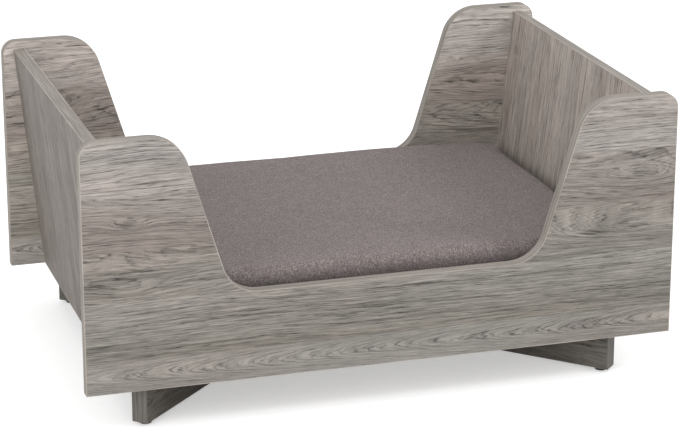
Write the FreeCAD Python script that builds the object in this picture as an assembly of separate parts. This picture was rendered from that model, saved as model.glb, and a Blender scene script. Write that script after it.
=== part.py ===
"""Dog bed with a board frame: two shaped long panels, two leaning end panels, a deck, four
corner legs set at 45 degrees, and a loose foam cushion in a zipped cover.

Millimetres. X runs along the bed, the front is towards -Y, Z is up.
The origin is on the floor, under the middle of the bed.
"""
import math
import os

import FreeCAD
import Part

Vector = FreeCAD.Vector

# ---- front and rear panels ----
bed_length = 900.0
bed_depth = 610.0  # from the front panel's front face to the rear panel's rear face
board = 18.0  # thickness of the four upright panels
edge_band = 1.0  # strip glued over a cut edge
panel_height = 375.0
ear_width = 142.0  # flat top of an ear, out to where the slope would meet it
slope_run = 74.0  # how far the slope moves inwards on its way down to the notch
notch_height = 133.0  # level notch floor above the panel's bottom edge
ear_outer_radius = 22.0
ear_inner_radius = 58.0
notch_radius = 56.0

# ---- end panels ----
end_inset = 55.0  # outer face's bottom edge, in from the long panels' ends
end_lean = 6.0  # degrees outwards at the top
end_board_height = 364.0

# ---- legs ----
leg_thickness = 25.0
leg_length = 240.0
leg_drop = 60.0  # below the panels' bottom edges
leg_angle = 45.0  # degrees in plan
glide_height = 5.0
glide_diameter = 18.0
glide_inset = 16.0  # glide's centre, in from the leg's end
glide_rounding = 1.2

# ---- deck and its cleats ----
deck_height = 72.0  # deck's top above the panels' bottom edges
deck_thickness = 15.0
cleat_width = 20.0
cleat_height = 30.0
cleat_end_gap = 15.0  # between a cleat's end and the leg beside it

# ---- cushion ----
cushion_thickness = 73.0
cushion_corner_radius = 48.0  # in plan
cushion_top_rounding = 28.0
cushion_bottom_rounding = 12.0
cover_thickness = 2.0
seam_height = 28.0  # above the cushion's underside, where the cover's two pieces meet
zip_length = 560.0
zip_tape_height = 18.0
zip_tape_thickness = 0.8
zip_gap_height = 14.0  # gap in the cover that shows the zip
zip_coil_height = 4.5
zip_coil_thickness = 1.6
slider_length = 9.0
slider_wall = 1.2
puller_length = 24.0
puller_width = 5.0
puller_thickness = 0.9

# ---- fasteners ----
dowel_diameter = 8.0
dowel_length = 30.0
dowel_depth_in_face = 10.0
dowel_chamfer = 1.0
cam_diameter = 15.0
cam_past_middle = 4.0  # cam bore's floor, past the middle of the end panel's thickness
cam_setback = 34.0  # cam's centre, in from the end panel's joint edge
bolt_diameter = 6.0
bolt_depth_in_face = 11.0
bolt_neck_diameter = 4.0
bolt_neck_length = 4.0
bolt_head_diameter = 7.0
bolt_head_length = 3.0
cap_diameter = 17.0
cap_thickness = 0.8
cap_plug_diameter = 8.0
cap_plug_length = 2.0
cam_driver_slot = 2.0
joint_heights = {"lower_cam": 92.0, "lower_dowel": 145.0, "upper_dowel": 225.0, "upper_cam": 306.0}
cleat_screw = {"diameter": 4.0, "head": 8.0, "length": 30.0}
deck_screw = {"diameter": 4.0, "head": 8.0, "length": 35.0}
leg_screw = {"diameter": 5.0, "head": 10.0, "length": 60.0}
cleat_screw_count = 4
deck_screw_count = 3
screw_end_margin = 40.0
leg_screw_places = (62.0, 182.0)  # from the leg's outer end
screw_point_length = 6.0
driver_cross_width = 1.0
driver_cross_depth = 1.6
nail_diameter = 2.0
nail_length = 20.0
nail_head_diameter = 7.0
nail_head_thickness = 1.0
nail_head_recess = 1.5  # nail head's underside above the glide's sole

# ---- clearances ----
hole_clearance = 0.1  # on a fastener's radius
end_clearance = 0.5  # at the bottom of a blind hole
leg_clearance = 0.3  # leg's end to the panels beside it
deck_clearance = 0.5
cushion_clearance = 3.0
cushion_seat_gap = 0.3
foam_clearance = 0.3
slider_clearance = 0.3

panel_base = leg_drop + glide_height
deck_top = panel_base + deck_height
deck_bottom = deck_top - deck_thickness
cushion_base = deck_top + cushion_seat_gap
half_length = bed_length / 2
half_depth = bed_depth / 2
inner_face = half_depth - board  # long panels' inner faces, out from the middle
lean = math.radians(end_lean)
cam_depth = board / 2 + cam_past_middle

X, Y, Z = Vector(1, 0, 0), Vector(0, 1, 0), Vector(0, 0, 1)
ORIGIN = Vector(0, 0, 0)


def box(x, y, z):
    """A box from its (low, high) limits along each axis."""
    size = [high - low for low, high in (x, y, z)]
    return Part.makeBox(*size, Vector(x[0], y[0], z[0]))


def cylinder(diameter, length, start=ORIGIN, direction=Z):
    return Part.makeCylinder(diameter / 2, length, start, direction)


def cone(low_diameter, high_diameter, length, start, direction):
    return Part.makeCone(low_diameter / 2, high_diameter / 2, length, start, direction)


def mirrored(shape, *normals):
    for normal in normals:
        shape = shape.mirror(ORIGIN, normal)
    return shape


def four_corners(shape):
    """Copies for all four corners of a shape made at the front left one."""
    return [shape, mirrored(shape, X), mirrored(shape, Y), mirrored(shape, X, Y)]


def rounded_outline(corners):
    """A closed wire through (point, radius) corners, each rounded by its own arc."""
    count = len(corners)
    arcs = []
    for i, (point, radius) in enumerate(corners):
        back = (corners[i - 1][0] - point).normalize()
        ahead = (corners[(i + 1) % count][0] - point).normalize()
        half_angle = back.getAngle(ahead) / 2
        if radius == 0:
            arcs.append((point, None, point))
            continue
        reach = radius / math.tan(half_angle)
        bisector = (back + ahead).normalize()
        middle = point + bisector * (radius / math.sin(half_angle) - radius)
        arcs.append((point + back * reach, middle, point + ahead * reach))
    edges = []
    for i, (start, middle, end) in enumerate(arcs):
        if middle:
            edges.append(Part.Arc(start, middle, end).toShape())
        next_start = arcs[(i + 1) % count][0]
        edges.append(Part.LineSegment(end, next_start).toShape())
    return Part.Wire(edges)


# ---- fasteners, each made along -Z from its head at the origin ----
def countersunk(sizes, grow=0.0, extra=0.0):
    """A countersunk screw's body, or with grow and extra the hole that takes it."""
    shank = sizes["diameter"] + 2 * grow
    head = sizes["head"] + 2 * grow
    head_depth = (head - shank) / 2
    straight = sizes["length"] - screw_point_length + extra
    body = cone(head, shank, head_depth, ORIGIN, -Z)
    body = body.fuse(cylinder(shank, straight, ORIGIN, -Z))
    point = cone(shank, shank / 5, screw_point_length, -Z * straight, -Z)
    return body.fuse(point).removeSplitter()


def screw(sizes):
    half_slot = sizes["head"] / 4
    across = (-driver_cross_width / 2, driver_cross_width / 2)
    along = (-half_slot, half_slot)
    depth = (-driver_cross_depth, 1.0)
    return countersunk(sizes).cut(box(across, along, depth)).cut(box(along, across, depth))


def screw_hole(sizes):
    return countersunk(sizes, hole_clearance, end_clearance)


def placed(shape, position, direction=-Z):
    """Turn a fastener from pointing along -Z to a direction, and move it to a position."""
    moved = shape.copy()
    moved.Placement = FreeCAD.Placement(position, FreeCAD.Rotation(-Z, direction))
    return moved


def spread(count, length):
    """Evenly spaced places along a length centred on zero, clear of its ends."""
    reach = length / 2 - screw_end_margin
    return [-reach + 2 * reach * i / (count - 1) for i in range(count)]


# ---- front panel: two ears, sloping shoulders and a level entry notch ----
def long_panel_outline():
    slope_foot = half_length - ear_width - slope_run
    right = [
        (Vector(half_length, 0, 0), 0),
        (Vector(half_length, 0, panel_height), ear_outer_radius),
        (Vector(half_length - ear_width, 0, panel_height), ear_inner_radius),
        (Vector(slope_foot, 0, notch_height), notch_radius),
    ]
    left = [(Vector(-point.x, 0, point.z), radius) for point, radius in reversed(right)]
    outline = rounded_outline(right + left)
    outline.translate(Vector(0, -half_depth, panel_base))
    return Part.Face(outline)


outline_face = long_panel_outline()
core_face = outline_face.makeOffset2D(-edge_band)
front_panel = core_face.extrude(Y * board)
front_panel_edge_band = outline_face.extrude(Y * board).cut(front_panel)


# ---- left end panel, built upright with its outer bottom edge at the origin ----
def leaned(shape):
    """Tilt outwards and carry to its place between the long panels."""
    moved = shape.copy()
    moved.rotate(ORIGIN, Y, -end_lean)
    moved.translate(Vector(end_inset - half_length, 0, panel_base))
    return moved


def end_face_x(height):
    """Left end panel's inner face at a height above the panels' bottom edges."""
    bottom_x = end_inset - half_length + board * math.cos(lean)
    bottom_height = board * math.sin(lean)
    return bottom_x - (height - bottom_height) * math.tan(lean)


end_core = box((0, board), (-inner_face, inner_face), (edge_band, end_board_height - edge_band))
end_bands = [
    leaned(box((0, board), (-inner_face, inner_face), (low, low + edge_band)))
    for low in (0, end_board_height - edge_band)
]


# ---- hardware of one end panel joint, at the front left corner ----
def joint_hardware():
    """Dowels, cam bolts, cams and caps, and the holes they need, in the leaned frame."""
    pieces = {"dowels": [], "bolts": [], "cams": [], "caps": []}
    end_holes = []
    face_holes = []
    middle = board / 2
    seam = -inner_face
    for name, height in joint_heights.items():
        on_seam = Vector(middle, seam, height)
        if name.endswith("dowel"):
            start = on_seam - Y * dowel_depth_in_face
            dowel = cylinder(dowel_diameter, dowel_length, start, Y)
            pieces["dowels"].append(dowel.makeChamfer(dowel_chamfer, round_edges(dowel)))
            bore = dowel_diameter + 2 * hole_clearance
            total = dowel_length + 2 * end_clearance
            hole = cylinder(bore, total, start - Y * end_clearance, Y)
            end_holes.append(hole)
            face_holes.append(hole)
            continue
        cam_centre = on_seam + Y * cam_setback
        pieces["bolts"].append(cam_bolt(on_seam))
        pieces["cams"].append(cam_lock(cam_centre, height))
        pieces["caps"].append(cam_cap(cam_centre))
        cam_hole = cam_diameter + 2 * hole_clearance
        end_holes.append(cylinder(cam_hole, cam_depth + end_clearance, cam_mouth(cam_centre), -X))
        bolt_bore = bolt_head_diameter + 2 * hole_clearance
        end_holes.append(cylinder(bolt_bore, cam_setback, on_seam, Y))
        face_bore = bolt_diameter + 2 * hole_clearance
        face_depth = bolt_depth_in_face + end_clearance
        face_holes.append(cylinder(face_bore, face_depth, on_seam, -Y))
    pieces = {kind: [leaned(piece) for piece in made] for kind, made in pieces.items()}
    return pieces, end_holes, [leaned(hole) for hole in face_holes]


def round_edges(shape):
    """The circular edges of a turned piece, without its seam line."""
    return [edge for edge in shape.Edges if isinstance(edge.Curve, Part.Circle)]


def cam_mouth(cam_centre):
    """Where the cam's bore opens on the end panel's inner face."""
    return Vector(board, cam_centre.y, cam_centre.z)


def cam_bolt(on_seam):
    """Threaded into the long panel, with a necked head that the cam pulls on."""
    shank_end = cam_setback - bolt_neck_length - bolt_head_length / 2
    bolt = cylinder(bolt_diameter, bolt_depth_in_face + shank_end, on_seam - Y * bolt_depth_in_face, Y)
    neck_start = on_seam + Y * shank_end
    bolt = bolt.fuse(cylinder(bolt_neck_diameter, bolt_neck_length, neck_start, Y))
    head_start = neck_start + Y * bolt_neck_length
    return bolt.fuse(cylinder(bolt_head_diameter, bolt_head_length, head_start, Y))


def cam_lock(cam_centre, height):
    """A round cam, slotted on the bolt's side so that it swallows the bolt's head."""
    mouth = cam_mouth(cam_centre) - X * (cap_plug_length + end_clearance)
    depth = cam_depth - cap_plug_length - end_clearance
    cam = cylinder(cam_diameter, depth, mouth, -X)
    half_head = bolt_head_diameter / 2 + 2 * hole_clearance
    half_throat = bolt_neck_diameter / 2 + 2 * hole_clearance
    near_side = cam_centre.y - cam_diameter
    throat_end = cam_centre.y - bolt_head_length / 2 - 2 * hole_clearance
    pocket_end = cam_centre.y + bolt_head_length / 2 + 2 * hole_clearance
    middle = board / 2
    throat = box(
        (middle - half_throat, middle + half_throat),
        (near_side, pocket_end),
        (height - half_throat, height + half_throat),
    )
    pocket = box(
        (middle - half_head, middle + half_head),
        (throat_end, pocket_end),
        (height - half_head, height + half_head),
    )
    shank_room = box(
        (middle - half_head, middle + half_head),
        (near_side, throat_end - bolt_neck_length + 4 * hole_clearance),
        (height - half_head, height + half_head),
    )
    driver = box(
        (mouth.x - cam_driver_slot, mouth.x),
        (cam_centre.y - cam_diameter / 3, cam_centre.y + cam_diameter / 3),
        (height - driver_cross_width, height + driver_cross_width),
    )
    return cam.cut(throat).cut(pocket).cut(shank_room).cut(driver)


def cam_cap(cam_centre):
    """A thin push-in cap over the cam, with a short plug behind it."""
    mouth = cam_mouth(cam_centre)
    cap = cylinder(cap_diameter, cap_thickness, mouth, X)
    edge = [e for e in round_edges(cap) if e.Vertexes[0].X > mouth.x + cap_thickness / 2]
    cap = cap.makeFillet(cap_thickness / 2, edge)
    return cap.fuse(cylinder(cap_plug_diameter, cap_plug_length, mouth, -X))


corner_hardware, end_holes, face_holes = joint_hardware()
for hole in end_holes:
    end_core = end_core.cut(hole).cut(mirrored(hole, Y))
left_end_panel = leaned(end_core)
right_end_panel = mirrored(left_end_panel, X)
for hole in face_holes:
    front_panel = front_panel.cut(hole).cut(mirrored(hole, X))


# ---- legs: boards on edge at 45 degrees, one in each corner ----
def front_left_leg_frame():
    """Carries a shape from the leg's own frame to its corner.

    In its own frame the outer end is at x = 0, the length runs along +x, the thickness is
    centred on y = 0 and z is the height above the floor.
    """
    turn = math.radians(leg_angle)
    side_corner_x = end_face_x(board * math.sin(lean)) + leg_clearance
    front_corner_y = -inner_face + leg_clearance
    half = leg_thickness / 2
    centre_x = side_corner_x + half * math.sin(turn)
    centre_y = front_corner_y + half * math.cos(turn)
    rotation = FreeCAD.Rotation(Z, leg_angle)
    return FreeCAD.Placement(Vector(centre_x, centre_y, 0), rotation)


leg_frame = front_left_leg_frame()


def in_corner(shape):
    moved = shape.copy()
    moved.Placement = leg_frame.multiply(moved.Placement)
    return moved


half_leg = leg_thickness / 2
leg_core = box(
    (edge_band, leg_length - edge_band),
    (-half_leg, half_leg),
    (glide_height + edge_band, deck_bottom),
)
leg_bands = [
    box((0, edge_band), (-half_leg, half_leg), (glide_height, deck_bottom)),
    box((leg_length - edge_band, leg_length), (-half_leg, half_leg), (glide_height, deck_bottom)),
    box(
        (edge_band, leg_length - edge_band),
        (-half_leg, half_leg),
        (glide_height, glide_height + edge_band),
    ),
]
glide_places = (glide_inset, leg_length - glide_inset)


def glide(place):
    """A round plastic foot with a sunk middle for its nail's head."""
    centre = Vector(place, 0, 0)
    foot = cylinder(glide_diameter, glide_height, centre)
    sole = [e for e in round_edges(foot) if e.Vertexes[0].Z < glide_height / 2]
    foot = foot.makeFillet(glide_rounding, sole)
    recess_diameter = nail_head_diameter + 4 * hole_clearance
    foot = foot.cut(cylinder(recess_diameter, nail_head_recess, centre))
    return foot.cut(cylinder(nail_diameter + 2 * hole_clearance, glide_height, centre))


def glide_nail(place):
    head_top = nail_head_recess
    head_start = Vector(place, 0, head_top - nail_head_thickness)
    head = cylinder(nail_head_diameter, nail_head_thickness, head_start)
    straight = nail_length - nail_diameter
    shank = cylinder(nail_diameter, straight, Vector(place, 0, head_top))
    point_start = Vector(place, 0, head_top + straight)
    return head.fuse(shank).fuse(cone(nail_diameter, nail_diameter / 5, nail_diameter, point_start, Z))


def nail_hole(place):
    bore = nail_diameter + 2 * hole_clearance
    return cylinder(bore, nail_length + nail_head_recess + end_clearance, Vector(place, 0, 0))


leg_screws = [placed(screw(leg_screw), Vector(place, 0, deck_top)) for place in leg_screw_places]
leg_screw_holes = [
    placed(screw_hole(leg_screw), Vector(place, 0, deck_top)) for place in leg_screw_places
]
nail_holes = Part.makeCompound([nail_hole(place) for place in glide_places])
for hole in leg_screw_holes + [nail_holes]:
    leg_core = leg_core.cut(hole)
leg_bands = leg_bands[:2] + [leg_bands[2].cut(nail_holes)]
front_left_leg = in_corner(leg_core)


# ---- deck, resting on the cleats and on the legs' top edges ----
deck_half_length = -end_face_x(deck_height - deck_thickness) - deck_clearance
deck_half_depth = inner_face - deck_clearance
deck_panel = box(
    (-deck_half_length, deck_half_length),
    (-deck_half_depth, deck_half_depth),
    (deck_bottom, deck_top),
)
for hole in leg_screw_holes:
    for copy in four_corners(in_corner(hole)):
        deck_panel = deck_panel.cut(copy)

# ---- cleats between the legs, screwed to the long panels' inner faces ----
leg_side_x = leg_frame.Base.x + half_leg * math.sin(math.radians(leg_angle))
leg_reach_x = leg_side_x + cleat_width / math.tan(math.radians(leg_angle))
cleat_length = 2 * (-leg_reach_x - cleat_end_gap)
cleat_middle_y = -inner_face + cleat_width / 2
cleat_middle_z = deck_bottom - cleat_height / 2
front_deck_cleat = box(
    (-cleat_length / 2, cleat_length / 2),
    (-inner_face, -inner_face + cleat_width),
    (deck_bottom - cleat_height, deck_bottom),
)
cleat_screw_places = spread(cleat_screw_count, cleat_length)
deck_screw_places = [
    (here + there) / 2 for here, there in zip(cleat_screw_places, cleat_screw_places[1:])
][:deck_screw_count]
cleat_screws = []
deck_screws = []
for x in cleat_screw_places:
    head = Vector(x, -inner_face + cleat_width, cleat_middle_z)
    cleat_screws.append(placed(screw(cleat_screw), head, -Y))
    hole = placed(screw_hole(cleat_screw), head, -Y)
    front_deck_cleat = front_deck_cleat.cut(hole)
    front_panel = front_panel.cut(hole)
for x in deck_screw_places:
    head = Vector(x, cleat_middle_y, deck_top)
    deck_screws.append(placed(screw(deck_screw), head))
    hole = placed(screw_hole(deck_screw), head)
    front_deck_cleat = front_deck_cleat.cut(hole)
    deck_panel = deck_panel.cut(hole).cut(mirrored(hole, Y))


# ---- cushion: a foam core in a cover of an upper and a lower piece ----
def cushion_section(height, inset):
    """The cushion's outline in plan at a height above its underside, drawn in by inset."""
    at_end = -end_face_x(deck_height + cushion_seat_gap + height) - cushion_clearance - inset
    at_side = inner_face - cushion_clearance - inset
    radius = cushion_corner_radius - inset
    corners = [
        (Vector(sx * at_end, sy * at_side, cushion_base + height), radius)
        for sx, sy in ((1, 1), (-1, 1), (-1, -1), (1, -1))
    ]
    return rounded_outline(corners)


def cushion_body(shrink):
    """The cushion's solid, its edges rounded over, drawn in all round by shrink."""
    steps = 5
    sections = []
    for rounding, edge, direction in (
        (cushion_bottom_rounding, shrink, 1),
        (cushion_top_rounding, cushion_thickness - shrink, -1),
    ):
        rounding = rounding - shrink / 2
        rows = []
        for i in range(steps + 1):
            angle = math.pi / 2 * i / steps
            height = edge + direction * rounding * (1 - math.sin(angle))
            rows.append((height, shrink + rounding * (1 - math.cos(angle))))
        sections.append(rows)
    bottom_rows, top_rows = sections
    rows = list(reversed(bottom_rows)) + top_rows
    rows.sort()
    return Part.makeLoft([cushion_section(*row) for row in rows], True, True)


seam = cushion_base + seam_height
rear_side = inner_face - cushion_clearance  # cushion's rear face
cover_inside = rear_side - cover_thickness
half_zip = zip_length / 2
cushion_outer = cushion_body(0)
cover_shell = cushion_outer.cut(cushion_body(cover_thickness))
zip_window = box(
    (-half_zip, half_zip),
    (cover_inside - cover_thickness, half_depth),
    (seam - zip_gap_height / 2, seam + zip_gap_height / 2),
)
cover_shell = cover_shell.cut(zip_window)
above_seam = box((-half_length, half_length), (-half_depth, half_depth), (seam, seam + bed_length))
cover_upper = cover_shell.common(above_seam)
cover_lower = cover_shell.cut(above_seam)
zip_groove = box(
    (-half_zip - foam_clearance, half_zip + foam_clearance),
    (cover_inside - zip_tape_thickness - foam_clearance, half_depth),
    (seam - zip_tape_height / 2 - foam_clearance, seam + zip_tape_height / 2 + foam_clearance),
)
cushion_foam = cushion_body(cover_thickness + foam_clearance).cut(zip_groove)

# ---- zip: tapes sewn behind the cover's edges, a coil on them, and a slider ----
coil_outside = cover_inside + zip_coil_thickness
tape_gap = slider_clearance / 2
tape_limits = (
    (seam + tape_gap, seam + zip_tape_height / 2),
    (seam - zip_tape_height / 2, seam - tape_gap),
)
zip_tapes = [
    box((-half_zip, half_zip), (cover_inside - zip_tape_thickness, cover_inside), limits)
    for limits in tape_limits
]
zip_coil = box(
    (-half_zip + slider_length, half_zip),
    (cover_inside, coil_outside),
    (seam - zip_coil_height / 2, seam + zip_coil_height / 2),
)


def zip_slider_and_puller():
    """A channel that straddles the coil, with a flat puller lying along it."""
    start = -half_zip + 1.5 * slider_length
    half_room = zip_coil_height / 2 + slider_clearance
    plate_in = coil_outside + slider_clearance
    plate_out = plate_in + slider_wall
    half_height = half_room + slider_wall
    body = box(
        (start, start + slider_length),
        (cover_inside + slider_clearance, plate_out),
        (seam - half_height, seam + half_height),
    )
    room = box(
        (start - slider_length, start + 2 * slider_length),
        (cover_inside, plate_in),
        (seam - half_room, seam + half_room),
    )
    puller = box(
        (start + slider_length / 3, start + slider_length / 3 + puller_length),
        (plate_out, plate_out + puller_thickness),
        (seam - puller_width / 2, seam + puller_width / 2),
    )
    upright = [e for e in puller.Edges if abs(e.Vertexes[0].Y - e.Vertexes[1].Y) > puller_thickness / 2]
    puller = puller.makeFillet(puller_width / 3, upright)
    return body.cut(room), puller


zip_slider, zip_puller = zip_slider_and_puller()

# ---- every node, by name ----
mirrored_rear = {
    "rear_panel": front_panel,
    "rear_panel_edge_band": front_panel_edge_band,
    "rear_deck_cleat": front_deck_cleat,
}
nodes = {
    "front_panel": [front_panel],
    "front_panel_edge_band": [front_panel_edge_band],
    "left_end_panel": [left_end_panel],
    "left_end_edge_bands": end_bands,
    "right_end_panel": [right_end_panel],
    "right_end_edge_bands": [mirrored(band, X) for band in end_bands],
    "deck_panel": [deck_panel],
    "front_deck_cleat": [front_deck_cleat],
    "panel_dowels": [c for dowel in corner_hardware["dowels"] for c in four_corners(dowel)],
    "cam_bolts": [c for bolt in corner_hardware["bolts"] for c in four_corners(bolt)],
    "cam_locks": [c for cam in corner_hardware["cams"] for c in four_corners(cam)],
    "cam_caps": [c for cap in corner_hardware["caps"] for c in four_corners(cap)],
    "cleat_screws": cleat_screws + [mirrored(one, Y) for one in cleat_screws],
    "deck_screws": deck_screws + [mirrored(one, Y) for one in deck_screws],
    "leg_screws": [c for one in leg_screws for c in four_corners(in_corner(one))],
    "leg_edge_bands": [c for band in leg_bands for c in four_corners(in_corner(band))],
    "leg_glides": [c for place in glide_places for c in four_corners(in_corner(glide(place)))],
    "glide_nails": [c for place in glide_places for c in four_corners(in_corner(glide_nail(place)))],
    "cushion_cover_upper": [cover_upper],
    "cushion_cover_lower": [cover_lower],
    "cushion_foam": [cushion_foam],
    "zip_tapes": zip_tapes,
    "zip_coil": [zip_coil],
    "zip_slider": [zip_slider],
    "zip_puller": [zip_puller],
}
for name, shape in mirrored_rear.items():
    nodes[name] = [mirrored(shape, Y)]
leg_names = ("front_left_leg", "front_right_leg", "rear_left_leg", "rear_right_leg")
for name, shape in zip(leg_names, four_corners(front_left_leg)):
    nodes[name] = [shape]

os.makedirs("parts", exist_ok=True)
for name, solids in nodes.items():
    shape = solids[0] if len(solids) == 1 else Part.makeCompound(solids)
    shape.exportStep(f"parts/{name}.step")
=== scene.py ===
"""Looks of the dog bed with a board frame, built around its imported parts.

Metres. X runs along the bed, the front is towards -Y, Z is up, and the floor is at z = 0.
"""
import math

import bmesh
import bpy
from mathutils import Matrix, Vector, noise


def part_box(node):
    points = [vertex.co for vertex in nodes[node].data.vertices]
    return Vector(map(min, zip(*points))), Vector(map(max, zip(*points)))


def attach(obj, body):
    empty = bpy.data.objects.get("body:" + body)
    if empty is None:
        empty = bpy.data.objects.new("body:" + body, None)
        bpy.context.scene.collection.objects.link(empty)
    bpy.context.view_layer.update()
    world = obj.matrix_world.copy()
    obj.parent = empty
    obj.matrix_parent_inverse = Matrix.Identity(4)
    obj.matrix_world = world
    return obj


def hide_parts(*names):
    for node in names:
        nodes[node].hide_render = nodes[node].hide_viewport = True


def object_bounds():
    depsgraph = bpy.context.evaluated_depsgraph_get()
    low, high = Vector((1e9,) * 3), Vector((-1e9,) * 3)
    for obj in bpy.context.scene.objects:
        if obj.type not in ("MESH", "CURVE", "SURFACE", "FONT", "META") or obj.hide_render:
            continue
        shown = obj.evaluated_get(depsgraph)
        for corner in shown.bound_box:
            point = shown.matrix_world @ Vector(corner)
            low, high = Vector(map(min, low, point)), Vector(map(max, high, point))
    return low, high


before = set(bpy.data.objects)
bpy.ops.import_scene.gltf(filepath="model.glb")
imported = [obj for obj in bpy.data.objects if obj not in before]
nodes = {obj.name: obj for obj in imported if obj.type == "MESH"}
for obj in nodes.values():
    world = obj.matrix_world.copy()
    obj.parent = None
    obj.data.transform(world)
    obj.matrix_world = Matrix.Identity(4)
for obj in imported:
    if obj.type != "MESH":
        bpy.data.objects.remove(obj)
cad_low, cad_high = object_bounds()

# ---------------------------------------------------------------------------------------
# Front and rear panels: 18 mm particle board faced on both sides with a printed laminate of
# grey walnut. The print shows five boards glued edge to edge, with their grain lying level.
# ---------------------------------------------------------------------------------------


class Shade:
    """A number, colour or place in a finish, so that a finish reads as a formula."""

    def __init__(self, socket):
        self.socket = socket

    def node(self, kind, settings, inputs, output=0):
        """Any node: its settings are made first, then its sockets get values or links."""
        tree = self.socket.id_data
        made = tree.nodes.new(kind)
        for name, value in settings.items():
            if name == "stops":
                ramp = made.color_ramp.elements
                while len(ramp) < len(value):
                    ramp.new(1.0)
                for stop, (position, colour) in zip(ramp, value):
                    stop.position = position
                    stop.color = (*colour, 1.0)
            elif name == "between":
                made.color_ramp.interpolation = value
            else:
                setattr(made, name, value)
        for place, value in inputs.items():
            if isinstance(value, Shade):
                tree.links.new(value.socket, made.inputs[place])
            else:
                made.inputs[place].default_value = value
        return Shade(made.outputs[output])

    def maths(self, operation, *values):
        return self.node("ShaderNodeMath", {"operation": operation}, dict(enumerate(values)))

    def __add__(self, other):
        return self.maths("ADD", self, other)

    def __sub__(self, other):
        return self.maths("SUBTRACT", self, other)

    def __mul__(self, other):
        return self.maths("MULTIPLY", self, other)

    def __truediv__(self, other):
        return self.maths("DIVIDE", self, other)

    def __pow__(self, other):
        return self.maths("POWER", self, other)

    def __abs__(self):
        return self.maths("ABSOLUTE", self)

    def __gt__(self, other):
        return self.maths("GREATER_THAN", self, other)

    def __radd__(self, other):
        return self.maths("ADD", other, self)

    def __rsub__(self, other):
        return self.maths("SUBTRACT", other, self)

    def __rmul__(self, other):
        return self.maths("MULTIPLY", other, self)

    def __rtruediv__(self, other):
        return self.maths("DIVIDE", other, self)


def new_finish(name):
    """A material, its shader, and the place of each point in the row's own metres."""
    material = bpy.data.materials.new(name)
    material.use_nodes = True
    shader = material.node_tree.nodes["Principled BSDF"]
    coordinates = material.node_tree.nodes.new("ShaderNodeTexCoord")
    return material, shader, Shade(coordinates.outputs["Object"])


def axes(place):
    return [place.node("ShaderNodeSeparateXYZ", {}, {0: place}, i) for i in range(3)]


def vector(x, y, z):
    return x.node("ShaderNodeCombineXYZ", {}, {0: x, 1: y, 2: z})


def cloud(place, scale=1.0, detail=2.0, roughness=0.5):
    """Soft noise from 0 to 1."""
    inputs = {"Vector": place, "Scale": scale, "Detail": detail, "Roughness": roughness}
    return place.node("ShaderNodeTexNoise", {}, inputs)


def ease(value, start, end):
    """0 below start, 1 above end, and a smooth step between."""
    settings = {"interpolation_type": "SMOOTHSTEP"}
    return value.node("ShaderNodeMapRange", settings, {0: value, 1: start, 2: end})


def mix(low, high, share, how="MIX"):
    """Two colours mixed by a share."""
    settings = {"data_type": "RGBA", "blend_type": how}
    shades = [part for part in (share, low, high) if isinstance(part, Shade)]
    return shades[0].node("ShaderNodeMix", settings, {0: share, 6: low, 7: high}, 2)


def lit(colour, light):
    """A colour made lighter or darker."""
    return light.node("ShaderNodeVectorMath", {"operation": "SCALE"}, {0: colour, 3: light})


def steps(value, stops, between="CONSTANT"):
    """A colour ramp over a value from 0 to 1."""
    return value.node("ShaderNodeValToRGB", {"between": between, "stops": stops}, {0: value})


def channels(colour):
    return [colour.node("ShaderNodeSeparateColor", {}, {0: colour}, i) for i in range(3)]


def bump(height, distance, strength=1.0):
    inputs = {"Height": height, "Distance": distance, "Strength": strength}
    return height.node("ShaderNodeBump", {}, inputs)


def coat(shader, colour, roughness, normal=None):
    """Hand the finished colour, roughness and surface relief to the shader."""
    links = shader.id_data.links
    for name, value in (("Base Color", colour), ("Roughness", roughness), ("Normal", normal)):
        if isinstance(value, Shade):
            links.new(value.socket, shader.inputs[name])
        elif value is not None:
            shader.inputs[name].default_value = value


def linear(red, green, blue):
    """A colour from its everyday 0 to 255 levels to the shader's linear ones."""
    def channel(level):
        level = level / 255
        return level / 12.92 if level <= 0.04045 else ((level + 0.055) / 1.055) ** 2.4
    return (channel(red), channel(green), channel(blue))


def solid(colour):
    return (*colour, 1.0)


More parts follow.
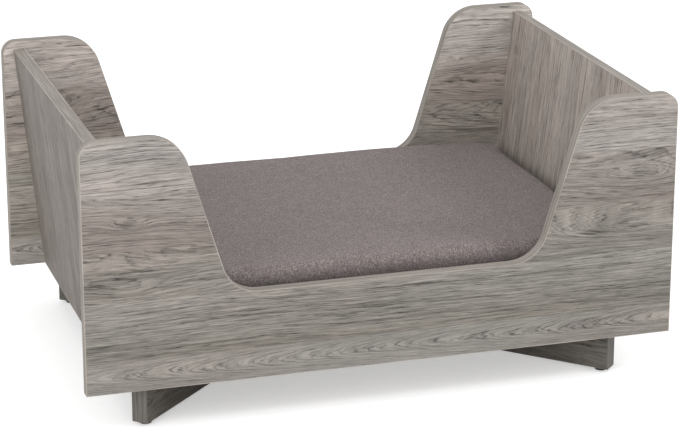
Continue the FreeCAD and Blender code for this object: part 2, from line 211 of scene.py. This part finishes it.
def walnut_print(along, across, boards, shift, painted_light_level, knots=()):
    """Colour and height of the printed walnut.

    along and across are metres with and across the grain. boards lists, from across = 0 up,
    each board's width, its colours at its lower and upper edges, how strongly its rings arch,
    and how much they wander. knots are swirls: place along and across, half length, half
    width, and how many rings they push aside. The last number lightens or darkens the whole
    sheet as painted light or shade, set per panel for the light that falls on it.
    """
    total = sum(width for width, *_ in boards)
    reach = across / total
    tone_stops, figure_stops, start = [], [], 0.0
    for width, lower, upper, arch, wander in boards:
        tone_stops += [(start / total + 0.001, lower), ((start + width) / total - 0.001, upper)]
        figure_stops.append((start / total, (arch, wander, (start + width / 2) / total)))
        start += width
    tone = steps(reach, tone_stops, "LINEAR")
    arch, wander, middle = channels(steps(reach, figure_stops))
    from_middle = (reach - middle) * total
    long_way = along + middle * 7.3 + shift

    # rings: level lines, nested arches and swirls, wandering slowly and frayed by the fibres
    drift = cloud(vector(long_way * 2.1, across * 10.0, middle * 31.0), 1.0, 1.5)
    fray = cloud(vector(long_way * 34.0, across * 330.0, middle), 1.0, 3.0)
    arches = long_way * 52.0 - from_middle * from_middle * 30000.0
    rings = arch * arches + (1.0 - arch) * (across * 150.0) + (drift - 0.5) * wander * 46.0
    heart = 0.0
    for knot_along, knot_across, half_length, half_width, pushed in knots:
        far = ((along - knot_along) / half_length) ** 2.0 + ((across - knot_across) / half_width) ** 2.0
        rings = rings + pushed / (1.0 + far * far)
        heart = heart + 1.0 / (1.0 + far * far * 90.0)
    frayed = rings + (fray - 0.5) * 0.8
    within = frayed.maths("FRACT", frayed)
    line = (1.0 - ease(within, 0.0, 0.38)) * ease(within, 0.0, 0.06)
    fading = ease(cloud(vector(long_way * 9.0, rings * 0.35, middle), 1.0, 2.0), 0.36, 0.62)
    line = line * (0.25 + 0.75 * fading)

    # fibres, pores and darker streaks bend with the rings but stay fine everywhere
    grain = across * 520.0 + (rings - across * 150.0) * 1.5 + (fray - 0.5) * 2.0
    fibres = cloud(vector(long_way * 15.0, grain, middle * 3.0), 1.0, 3.0, 0.72) - 0.5
    pores = ease(cloud(vector(long_way * 34.0, grain * 1.7, middle), 1.0, 1.0), 0.55, 0.66)
    streaks = ease(cloud(vector(long_way * 3.0, grain * 0.3, middle), 1.0, 2.0), 0.50, 0.70)
    patches = cloud(vector(long_way * 3.4, across * 26.0, middle * 5.0), 1.0, 2.0) - 0.5
    hue = cloud(vector(long_way * 2.1, across * 16.0, middle * 11.0), 1.0, 1.0)

    light = 1.02 - 0.46 * line - 0.34 * pores - 0.22 * streaks + 2.0 * fibres + 0.35 * patches
    light = light - 0.3 * heart
    warm = solid((1.015, 0.99, 0.975))
    cool = solid((0.99, 0.997, 0.99))
    colour = mix(tone, mix(cool, warm, ease(hue, 0.38, 0.62)), 1.0, "MULTIPLY")
    colour = lit(colour, painted_light_level * light.maths("MAXIMUM", light, 0.2))
    return colour, 0.5 * fibres - 0.5 * pores - 0.3 * line


def board(width, lower, upper, arch, wander):
    return (width, linear(*lower), linear(*upper), arch, wander)


level_boards = [
    board(0.047, (154, 149, 143), (156, 151, 145), 0.95, 0.26),
    board(0.090, (136, 131, 123), (156, 151, 145), 0.00, 0.20),
    board(0.074, (146, 141, 134), (156, 149, 142), 0.10, 0.62),
    board(0.082, (148, 139, 133), (160, 152, 146), 0.05, 0.56),
    board(0.082, (172, 165, 160), (174, 167, 162), 0.03, 0.34),
]
front_knots = [
    (-0.384, 0.250, 0.030, 0.010, 3.2),
    (-0.425, 0.155, 0.075, 0.018, 3.6),
    (0.330, 0.172, 0.085, 0.016, 3.4),
    (0.390, 0.252, 0.060, 0.014, 3.6),
]
panel_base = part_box("front_panel_edge_band")[0].z


def long_panel_finish(name, shift, painted_light_level, knots):
    material, shader, place = new_finish(name)
    x, y, z = axes(place)
    colour, height = walnut_print(x, z - panel_base, level_boards, shift, painted_light_level, knots)
    coat(shader, colour, 0.52 - 0.12 * height, bump(height, 0.00025))
    shader.inputs["Specular IOR Level"].default_value = 0.35
    return material


def dress(node, material, bevel=0.0):
    """Give a CAD piece its finish, with its sharp edges eased by bevel metres."""
    piece = nodes[node]
    for place in piece.material_slots:
        place.material = material
    if bevel:
        eased = piece.modifiers.new("eased_edges", "BEVEL")
        eased.width = bevel
        eased.segments = 2
        eased.limit_method = "ANGLE"
        eased.angle_limit = math.radians(35)
        eased.harden_normals = False


rear_knots = [
    (-0.400, 0.270, 0.070, 0.012, 3.4),
    (0.350, 0.262, 0.080, 0.012, -3.2),
]
# Painted light and shade per panel: the front's print is darkened to 0.93, and the rear's is lightened
# to 1.38 as painted light over its inner face, which lies in shade.
dress("front_panel", long_panel_finish("walnut_front", 0.0, 0.93, front_knots))
dress("rear_panel", long_panel_finish("walnut_rear", 3.7, 1.38, rear_knots))

# ---------------------------------------------------------------------------------------
# Leaning end panels: the same board and laminate, cut with the grain running up, from
# narrower boards of the print that differ in tone.
# ---------------------------------------------------------------------------------------

upright_boards = [
    board(0.058, (147, 139, 133), (144, 136, 130), 0.02, 0.12),
    board(0.041, (153, 146, 140), (151, 144, 138), 0.00, 0.08),
    board(0.083, (146, 137, 131), (150, 141, 135), 0.03, 0.16),
    board(0.036, (139, 131, 125), (137, 129, 123), 0.00, 0.10),
    board(0.067, (150, 142, 136), (147, 139, 133), 0.02, 0.14),
    board(0.048, (142, 134, 128), (145, 137, 131), 0.00, 0.08),
    board(0.094, (152, 144, 138), (148, 140, 134), 0.03, 0.18),
    board(0.039, (139, 132, 126), (142, 134, 128), 0.00, 0.08),
    board(0.144, (149, 141, 135), (146, 138, 132), 0.02, 0.14),
]


def end_panel_finish(name, shift, painted_light_level):
    material, shader, place = new_finish(name)
    x, y, z = axes(place)
    colour, height = walnut_print(z, y + cad_high.y, upright_boards, shift, painted_light_level)
    coat(shader, colour, 0.52 - 0.12 * height, bump(height, 0.00025))
    shader.inputs["Specular IOR Level"].default_value = 0.35
    return material


# Painted light and shade per panel: the left end's print is darkened to 0.78 as painted shade on its
# outer face, and the right end's is lightened to 1.36 as painted light on its shaded inner face.
dress("left_end_panel", end_panel_finish("walnut_left_end", 1.9, 0.78))
dress("right_end_panel", end_panel_finish("walnut_right_end", 5.2, 1.36))

# ---------------------------------------------------------------------------------------
# Edge bands: 1 mm strips of the same print, ironed over every cut edge, a shade paler than
# the faces, with their grain running along the edge.
# ---------------------------------------------------------------------------------------


board_thickness = 0.018


def band_finish(name, tone, streak_place, sides):
    """streak_place turns a point's x, y, z into metres stretched along the strip; sides turns
    them into its distance across the strip, to paint a highlight along both its long edges.
    """
    material, shader, place = new_finish(name)
    stretched = streak_place(*axes(place))
    from_side = sides(*axes(place))
    far_side = board_thickness - from_side
    # Painted highlight: the strip is lightened along both long edges, where its arrises catch the light.
    painted_arris_highlight = (1.0 - ease(from_side, 0.0006, 0.0016)) + (1.0 - ease(far_side, 0.0006, 0.0016))
    streaks = cloud(stretched, 1.0, 3.0, 0.6) - 0.5
    broad = cloud(stretched, 0.23, 2.0) - 0.5
    light = 0.95 + 1.9 * streaks + 0.9 * broad + 0.55 * painted_arris_highlight
    colour = lit(tone, light)
    coat(shader, colour, 0.5 - 0.1 * streaks, bump(streaks, 0.0002))
    shader.inputs["Specular IOR Level"].default_value = 0.35
    return material


band_tone = linear(143, 136, 129)


def along_outline(x, y, z):
    return vector(x * 14.0, y * 900.0, z * 14.0)


def along_depth(x, y, z):
    return vector(x * 900.0, y * 14.0, z * 60.0)


def across_long_panel(x, y, z):
    return abs(y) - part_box("rear_panel")[0].y


end_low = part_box("right_end_panel")[0]
end_slope = math.tan(math.radians(6.0))
inner_foot_rise = 0.0019  # how much higher the leaning board's inner foot is than its outer one


def end_face(z):
    """How far out the right end panel's inner face stands at a height."""
    return end_low.x + (z - end_low.z - inner_foot_rise) * end_slope


def across_end_panel(x, y, z):
    return abs(x) - end_face(z)


outline_band = band_finish("walnut_band_outline", band_tone, along_outline, across_long_panel)
depth_band = band_finish("walnut_band_depth", band_tone, along_depth, across_end_panel)
dress("front_panel_edge_band", outline_band, 0.0004)
dress("rear_panel_edge_band", outline_band, 0.0004)
dress("left_end_edge_bands", depth_band, 0.0003)
dress("right_end_edge_bands", depth_band, 0.0003)

# ---------------------------------------------------------------------------------------
# Legs: four 25 mm boards stood on edge at 45 degrees in the corners, screwed down through the
# deck, laminated on both sides and banded at their ends and along the floor edge.
# ---------------------------------------------------------------------------------------

# Painted shade: the leg boards' tones are darker than the panels', for the shade the legs stand in under
# the bed.
shaded_leg_boards = [
    board(0.052, (128, 123, 116), (124, 119, 112), 0.30, 0.30),
    board(0.193, (118, 113, 106), (124, 119, 111), 0.02, 0.22),
]
half_root = math.sqrt(0.5)
leg_half_thickness = 0.0125
leg_low, leg_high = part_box("rear_right_leg")
leg_middle = (leg_low.x + leg_high.x - leg_low.y - leg_high.y) / 2


def leg_finish(name):
    material, shader, place = new_finish(name)
    x, y, z = axes(place)
    along = (abs(x) + abs(y)) * half_root + (x > 0.0) * 2.3 + (y > 0.0) * 4.1
    # 0.72 darkens the whole leg print further as painted shade.
    colour, height = walnut_print(along, z, shaded_leg_boards, 0.4, 0.72)
    coat(shader, colour, 0.55 - 0.12 * height, bump(height, 0.00025))
    shader.inputs["Specular IOR Level"].default_value = 0.3
    return material


def down_the_leg(x, y, z):
    """Streaks run up the end strips and along the floor strip: fine only across the board."""
    across = (abs(x) - abs(y)) * half_root
    along = (abs(x) + abs(y)) * half_root
    return vector(across * 900.0, along * 20.0, z * 14.0)


def across_leg(x, y, z):
    """Both arrises of the thicker leg board read as the far side of an 18 mm strip."""
    from_middle = abs(abs(x) - abs(y) - leg_middle) * half_root
    return from_middle + (board_thickness - 0.001 - leg_half_thickness)


walnut_legs = leg_finish("walnut_legs")
for corner in ("front_left", "front_right", "rear_left", "rear_right"):
    dress(corner + "_leg", walnut_legs)
# The leg bands' darker tone than the other bands is painted shade as well.
shaded_leg_band = band_finish("walnut_band_legs", linear(112, 108, 102), down_the_leg, across_leg)
dress("leg_edge_bands", shaded_leg_band, 0.0003)

# ---------------------------------------------------------------------------------------
# Glides: round black plastic feet, each nailed under a leg through its sunk middle.
# ---------------------------------------------------------------------------------------


def moulded_finish(name, tone, roughness):
    material, shader, place = new_finish(name)
    grain = cloud(place, 1800.0, 2.0) - 0.5
    smudge = cloud(place, 90.0, 2.0) - 0.5
    light = 1.0 + 0.25 * smudge
    colour = lit(tone, light)
    coat(shader, colour, roughness + 0.15 * smudge, bump(grain, 0.0001))
    return material


def metal_finish(name, tone, roughness):
    material, shader, place = new_finish(name)
    brush = cloud(place, 700.0, 3.0, 0.7) - 0.5
    blotch = cloud(place, 140.0, 2.0) - 0.5
    light = 1.0 + 0.3 * blotch + 0.2 * brush
    colour = lit(tone, light)
    coat(shader, colour, roughness + 0.2 * blotch, bump(brush, 0.00005))
    shader.inputs["Metallic"].default_value = 1.0
    return material


zinc = metal_finish("zinc_plate", (0.62, 0.62, 0.63), 0.38)
dress("leg_glides", moulded_finish("black_glide_plastic", (0.018, 0.018, 0.019), 0.5))
dress("glide_nails", zinc)

# ---------------------------------------------------------------------------------------
# Deck and cleats: a laminated board laid on two pine cleats and on the legs' top edges, and
# held to them with countersunk screws.
# ---------------------------------------------------------------------------------------


def deck_finish(name):
    material, shader, place = new_finish(name)
    x, y, z = axes(place)
    boards = [
        board(0.13, (148, 142, 135), (152, 146, 139), 0.05, 0.40),
        board(0.11, (140, 134, 127), (143, 137, 130), 0.00, 0.20),
        board(0.14, (152, 146, 139), (150, 144, 137), 0.06, 0.50),
        board(0.10, (143, 136, 129), (140, 133, 126), 0.00, 0.16),
        board(0.13, (150, 144, 137), (154, 148, 141), 0.08, 0.42),
    ]
    colour, height = walnut_print(x, y + cad_high.y, boards, 8.8, 1.0)
    coat(shader, colour, 0.55 - 0.12 * height, bump(height, 0.00025))
    return material


def pine_finish(name, stretch):
    material, shader, place = new_finish(name)
    stretched = stretch(*axes(place))
    rings = cloud(stretched, 1.0, 3.0, 0.55)
    tone = mix(solid(linear(205, 176, 134)), solid(linear(168, 128, 84)), ease(rings, 0.4, 0.68))
    coat(shader, tone, 0.62 - 0.1 * rings, bump(rings, 0.0003))
    return material


dress("deck_panel", deck_finish("walnut_deck"))
pine = pine_finish("pine_cleat", lambda x, y, z: vector(x * 9.0, y * 260.0, z * 260.0))
dress("front_deck_cleat", pine, 0.0008)
dress("rear_deck_cleat", pine, 0.0008)
for screws in ("cleat_screws", "deck_screws", "leg_screws"):
    dress(screws, zinc)

# ---------------------------------------------------------------------------------------
# Joint hardware of the end panels: beech dowels, cam bolts and cams, and the thin grey caps
# pushed in over the cams on the panels' inner faces.
# ---------------------------------------------------------------------------------------

beech = pine_finish("beech_dowel", lambda x, y, z: vector(x * 400.0, y * 12.0, z * 400.0))
dress("panel_dowels", beech)
dress("cam_bolts", zinc)
dress("cam_locks", metal_finish("die_cast_zinc", (0.48, 0.48, 0.50), 0.5))
dress("cam_caps", moulded_finish("grey_cap_plastic", linear(140, 133, 128), 0.5))

# ---------------------------------------------------------------------------------------
# Cushion: a foam pad in a loose cover of heathered mauve-grey cloth, sewn from an upper and
# a lower piece. It lies loose on the deck, crowned in the middle and rounded at its edges.
# ---------------------------------------------------------------------------------------

cover_low, cover_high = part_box("cushion_cover_lower")[0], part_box("cushion_cover_upper")[1]
seam_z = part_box("cushion_cover_upper")[0].z
pad_half_depth = cover_high.y
corner_radius = 0.048
end_gap = 0.003  # between the pad as cut and each end panel
cloth_room = 0.0012  # how close the blown-up cloth may come to the end panels
crown_lift = 0.009  # how far the crown stands above the foam's nominal top
def outline_point(angle, half_x, half_y, radius):
    """The point of a rounded rectangle that lies in a direction from its middle."""
    direction = Vector((math.cos(angle), math.sin(angle)))
    reach = min(half_x / max(abs(direction.x), 1e-9), half_y / max(abs(direction.y), 1e-9))
    point = direction * reach
    corner = Vector((half_x - radius, half_y - radius))
    if abs(point.x) > corner.x and abs(point.y) > corner.y:
        across = Vector((abs(direction.x), abs(direction.y))).dot(corner)
        reach = across + math.sqrt(max(across ** 2 - corner.length_squared + radius ** 2, 0))
        point = direction * reach
    return point


def pad_mesh(name, inset):
    """A closed pad with rounded edges: outlines from its underside to its top."""
    around, quarter = 200, 8
    height = cover_high.z + crown_lift - cover_low.z - 2 * inset
    levels = []
    for start, radius, way in ((0.0, 0.012, 1), (height, 0.025, -1)):
        for i in range(quarter + 1):
            angle = math.pi / 2 * i / quarter
            levels.append((start + way * radius * (1 - math.cos(angle)), radius * (1 - math.sin(angle))))
    mesh = bmesh.new()
    rings = []
    for level, tuck in sorted(levels):
        z = cover_low.z + inset + level
        half_x = end_face(z) - end_gap - tuck - inset
        half_y = pad_half_depth - tuck - inset
        ring = []
        for k in range(around):
            point = outline_point(math.tau * k / around, half_x, half_y, corner_radius - inset)
            ring.append(mesh.verts.new((point.x, point.y, z)))
        rings.append(ring)
    for low, high in zip(rings, rings[1:]):
        for k in range(around):
            n = (k + 1) % around
            mesh.faces.new((low[k], low[n], high[n], high[k]))
    mesh.faces.new(list(reversed(rings[0])))
    mesh.faces.new(rings[-1])
    return finished(mesh, name)


def finished(mesh, name):
    """Turn the mesh being built into an object of the scene."""
    bmesh.ops.recalc_face_normals(mesh, faces=mesh.faces)
    data = bpy.data.meshes.new(name)
    mesh.to_mesh(data)
    mesh.free()
    piece = bpy.data.objects.new(name, data)
    bpy.context.scene.collection.objects.link(piece)
    return piece


def apply_modifier(piece, modifier):
    with bpy.context.temp_override(object=piece, active_object=piece, selected_objects=[piece]):
        bpy.ops.object.modifier_apply(modifier=modifier.name)


def inflate(piece, frames, limit):
    """Blow the cover up a little, as its foam does, and cap how far any point moves."""
    before = [vertex.co.copy() for vertex in piece.data.vertices]
    modifier = piece.modifiers.new("cloth", "CLOTH")
    cloth = modifier.settings
    cloth.quality = 5
    cloth.use_pressure = True
    cloth.uniform_pressure_force = 4.0
    cloth.effector_weights.gravity = 0
    modifier.point_cache.frame_start = 1
    modifier.point_cache.frame_end = frames
    for number in range(1, frames + 1):
        bpy.context.scene.frame_set(number)
    apply_modifier(piece, modifier)
    bpy.context.scene.frame_set(1)
    for vertex, start in zip(piece.data.vertices, before):
        move = vertex.co - start
        if move.length > limit:
            vertex.co = start + move * (limit / move.length)


def hump(value, centre, width):
    return math.exp(-(((value - centre) / width) ** 2))


def ramp(value, start, end):
    share = min(max((value - start) / (end - start), 0.0), 1.0)
    return share * share * (3 - 2 * share)


def settle(piece):
    """Lay the blown-up cover down: flat underneath, a level crown, soft dips, clear of the walls."""
    crown_z = cover_high.z + crown_lift - 0.0005
    for vertex in piece.data.vertices:
        x, y, z = vertex.co
        upper = ramp(z, crown_z - 0.022, crown_z - 0.004)
        if z > crown_z:
            z = crown_z + (z - crown_z) * 0.35
        dips = noise.noise(Vector((x * 4.6, y * 5.7, 4.7))) * 0.0022
        puckers = noise.noise(Vector((x * 15.0, y * 13.0, 1.3))) * 0.0007
        corner = abs(x * y) / (end_face(z) * pad_half_depth)
        z = max(z + (dips + puckers - 0.008 * corner ** 4) * upper, cover_low.z + 0.0002)
        wall_x, wall_y = end_face(z) - cloth_room, pad_half_depth + cloth_room
        vertex.co = (max(-wall_x, min(wall_x, x)), max(-wall_y, min(wall_y, y)), z)


def sew(piece):
    """Pull the seam in all the way round, and make room for the zip at the rear."""
    zip_half_length = 0.280
    for vertex in piece.data.vertices:
        x, y, z = vertex.co
        edge = min(end_face(z) - abs(x), pad_half_depth + 0.003 - abs(y))
        pull = 0.0028 * hump(z, seam_z, 0.0032) * (1 - ramp(edge, 0.012, 0.02))
        outward = Vector((x, y)).normalized()
        if abs(y) > pad_half_depth - corner_radius and abs(x) < end_face(z) - corner_radius:
            outward = Vector((0, math.copysign(1, y)))
        elif abs(y) < pad_half_depth - corner_radius:
            outward = Vector((math.copysign(1, x), 0))
        x, y = x - outward.x * pull, y - outward.y * pull
        if y > 0.27:
            opening = 1 - ramp(abs(z - seam_z), 0.0062, 0.0085)
            opening *= 1 - ramp(abs(x), zip_half_length - 0.001, zip_half_length + 0.003)
            y = y * (1 - opening) + min(y, 0.2808) * opening
        vertex.co = (x, y, z)


pad = pad_mesh("cushion_pad", 0.003)
remeshed = pad.modifiers.new("remesh", "REMESH")
remeshed.mode = "VOXEL"
remeshed.voxel_size = 0.0055
apply_modifier(pad, remeshed)
inflate(pad, 20, 0.009)
settle(pad)
softer = pad.modifiers.new("softer", "SMOOTH")
softer.iterations = 3
softer.factor = 0.5
apply_modifier(pad, softer)
finer = pad.modifiers.new("finer", "SUBSURF")
finer.levels = finer.render_levels = 1
apply_modifier(pad, finer)

foam = bpy.data.objects.new("foam_core", pad.data.copy())
bpy.context.scene.collection.objects.link(foam)
for vertex, cover in zip(foam.data.vertices, pad.data.vertices):
    vertex.co = cover.co - cover.normal * 0.0045
sew(pad)
for piece in (pad, foam):
    piece.data.polygons.foreach_set("use_smooth", [True] * len(piece.data.polygons))


def heathered_cloth(name):
    """Plain weave of thick flecked yarns, brushed so that short pale fibres stand out."""
    material, shader, place = new_finish(name)
    x, y, z = axes(place)
    normal = place.node("ShaderNodeNewGeometry", {}, {}, "Normal")
    nx, ny, nz = [abs(part) for part in axes(normal)]
    flat = nz > 0.6
    sideways = (nx > ny) * (1.0 - flat)
    across = x * (1.0 - sideways) + y * sideways
    up = y * flat + z * (1.0 - flat)
    yarn = 760.0
    wobble = cloud(place, 260.0, 1.0) - 0.5
    a = across * yarn + wobble * 0.9
    b = up * yarn + wobble * 0.9
    warp = abs(a.maths("SINE", a * math.pi))
    weft = abs(b.maths("SINE", b * math.pi))
    cell = vector(a.maths("FLOOR", a), b.maths("FLOOR", b), sideways)
    fleck = cell.node("ShaderNodeTexWhiteNoise", {}, {"Vector": cell})
    fuzz = cloud(place, 950.0, 2.0, 0.65)
    mottle = cloud(place, 45.0, 3.0) - 0.5
    lay = cloud(place, 5.0, 2.0) - 0.5
    weave = warp * weft
    light = 0.75 + 0.26 * weave + 0.55 * (fleck - 0.5) + 0.9 * (fuzz - 0.5) + 0.2 * mottle
    light = light + 0.1 * lay
    tone = mix(solid(linear(140, 128, 127)), solid(linear(152, 142, 138)), ease(fleck, 0.6, 0.9))
    # Painted shade: below the crown the cloth is darkened, down to 0.62 of its lightness from 30 mm
    # above the seam.
    colour = lit(tone, light * (0.62 + 0.38 * ease(z, seam_z + 0.030, cover_high.z + 0.006)))
    height = weave + 0.6 * (fuzz - 0.5) + 0.5 * (fleck - 0.5)
    coat(shader, colour, 0.92, bump(height, 0.0007, 0.8))
    shader.inputs["Specular IOR Level"].default_value = 0.15
    shader.inputs["Sheen Weight"].default_value = 0.15
    shader.inputs["Sheen Roughness"].default_value = 0.6
    return material


def foam_finish(name):
    """Cut polyurethane foam: pale, dull and full of small open cells."""
    material, shader, place = new_finish(name)
    cells = place.node("ShaderNodeTexVoronoi", {}, {"Vector": place, "Scale": 900.0}, "Distance")
    yellowing = cloud(place, 7.0, 2.0)
    tone = mix(solid(linear(236, 230, 212)), solid(linear(226, 214, 184)), yellowing)
    coat(shader, lit(tone, 0.8 + 0.35 * cells), 0.95, bump(cells, 0.0006))
    return material


def join(piece, material, body="cushion"):
    """Give a modelled piece its finish, its named slot and the body it moves with."""
    piece.data.materials.append(material)
    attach(piece, body)


join(pad, heathered_cloth("heathered_cloth"))
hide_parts("cushion_cover_upper", "cushion_cover_lower")
join(foam, foam_finish("cut_foam"))
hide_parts("cushion_foam")

# ---------------------------------------------------------------------------------------
# Zip of the cover: two woven tapes and a nylon coil in the rear side of the seam, with a
# cast slider and its puller, sewn in by a row of stitches above and below.
# ---------------------------------------------------------------------------------------


def tape_finish(name, tone):
    material, shader, place = new_finish(name)
    x, y, z = axes(place)
    ribs = abs(x.maths("SINE", x * 5200.0)) * 0.6 + 0.4 * abs(z.maths("SINE", z * 7600.0))
    dust = cloud(place, 120.0, 2.0) - 0.5
    coat(shader, lit(tone, 0.7 + 0.35 * ribs + 0.3 * dust), 0.85, bump(ribs, 0.0002))
    return material


def coil_finish(name, tone):
    """Nylon wire wound in close turns."""
    material, shader, place = new_finish(name)
    x, y, z = axes(place)
    turns = abs(x.maths("SINE", (x + abs(z - seam_z) * 0.4) * 2400.0))
    coat(shader, lit(tone, 0.45 + 0.6 * turns), 0.42 - 0.1 * turns, bump(turns, 0.0005))
    return material


def stitch_row(mesh, start, end, pitch, thread):
    """Thread lying on the cloth in short humped stitches from one point to another."""
    way = (end - start).normalized()
    out = Vector((0, 1, 0))
    side = way.cross(out)
    for number in range(int((end - start).length / pitch)):
        first = start + way * number * pitch
        rings = []
        for i, (share, lift, size) in enumerate(
            ((0.0, -0.6, 0.5), (0.12, 0.3, 0.9), (0.4, 0.6, 1.0), (0.68, 0.3, 0.9), (0.8, -0.6, 0.5))
        ):
            middle = first + way * share * pitch + out * lift * thread
            rings.append([
                mesh.verts.new(middle + (out * math.cos(a) + side * math.sin(a)) * thread * size)
                for a in (math.tau * k / 6 for k in range(6))
            ])
        for low, high in zip(rings, rings[1:]):
            for k in range(6):
                n = (k + 1) % 6
                mesh.faces.new((low[k], low[n], high[n], high[k]))
        mesh.faces.new(rings[0])
        mesh.faces.new(rings[-1])


rows = bmesh.new()
for drop in (-0.0105, 0.0105):
    stitch_row(rows, Vector((-0.284, pad_half_depth + 0.0006, seam_z + drop)),
               Vector((0.284, pad_half_depth + 0.0006, seam_z + drop)), 0.0042, 0.00035)
stitches = finished(rows, "zip_stitches")
for face in stitches.data.polygons:
    face.use_smooth = True
thread_tone = linear(120, 110, 110)
join(stitches, tape_finish("sewing_thread", thread_tone))

dress("zip_tapes", tape_finish("woven_zip_tape", linear(96, 88, 88)))
dress("zip_coil", coil_finish("nylon_zip_coil", linear(104, 96, 95)))
gunmetal = metal_finish("gunmetal_zip", (0.20, 0.19, 0.19), 0.36)
dress("zip_slider", gunmetal, 0.0002)
dress("zip_puller", gunmetal, 0.0002)

# ---------------------------------------------------------------------------------------
# Floor, lights and camera: white studio paper, one soft lamp high on the right that throws
# the right end panel's shade over the cushion, a weaker one on the left, and one overhead.
# ---------------------------------------------------------------------------------------

reach = 60.0
floor_mesh = bpy.data.meshes.new("studio_floor")
floor_mesh.from_pydata(
    [(-reach, -reach, 0), (reach, -reach, 0), (reach, reach, 0), (-reach, reach, 0)], [], [(0, 1, 2, 3)]
)
floor = bpy.data.objects.new("studio_floor", floor_mesh)
bpy.context.scene.collection.objects.link(floor)
paper, paper_shader, paper_place = new_finish("studio_paper")
paper_shader.inputs["Base Color"].default_value = (0.85, 0.85, 0.85, 1)
paper_shader.inputs["Roughness"].default_value = 0.95
paper_shader.inputs["Specular IOR Level"].default_value = 0.0
seen = paper_place.node("ShaderNodeLightPath", {}, {}, "Is Camera Ray")
glow = mix(solid((0, 0, 0)), solid((0.45, 0.45, 0.45)), seen)
paper.node_tree.links.new(glow.socket, paper_shader.inputs["Emission Color"])
paper_shader.inputs["Emission Strength"].default_value = 1.0
floor_mesh.materials.append(paper)

world = bpy.data.worlds.new("studio")
bpy.context.scene.world = world
world.use_nodes = True
world.node_tree.nodes["Background"].inputs["Color"].default_value = (1, 1, 1, 1)
world.node_tree.nodes["Background"].inputs["Strength"].default_value = 0.8


def softbox(name, place, aim, size, power):
    lamp = bpy.data.lights.new(name, "AREA")
    lamp.shape = "SQUARE"
    lamp.size = size
    lamp.energy = power
    box = bpy.data.objects.new(name, lamp)
    box.location = place
    box.rotation_euler = (Vector(aim) - Vector(place)).to_track_quat("-Z", "Y").to_euler()
    bpy.context.scene.collection.objects.link(box)


middle = (cad_low + cad_high) / 2
softbox("key_right", (2.8, -1.7, 2.5), middle, 0.8, 34)
softbox("fill_left", (-3.2, -2.2, 1.6), middle, 2.0, 40)
softbox("overhead", (-0.4, -0.6, 3.2), middle, 2.4, 16)

azimuth, elevation, distance = math.radians(-17.2), math.radians(18.2), 3.90
aim = Vector((-0.0132, -0.1093, 0.2308))
camera_data = bpy.data.cameras.new("camera")
camera_data.sensor_width = 36.0
camera_data.lens = 136.2
camera = bpy.data.objects.new("camera", camera_data)
back = Vector((
    math.sin(azimuth) * math.cos(elevation),
    -math.cos(azimuth) * math.cos(elevation),
    math.sin(elevation),
))
camera.location = aim + back * distance
camera.rotation_euler = (-back).to_track_quat("-Z", "Y").to_euler()
bpy.context.scene.collection.objects.link(camera)
bpy.context.scene.camera = camera
bpy.context.scene.view_settings.view_transform = "Standard"
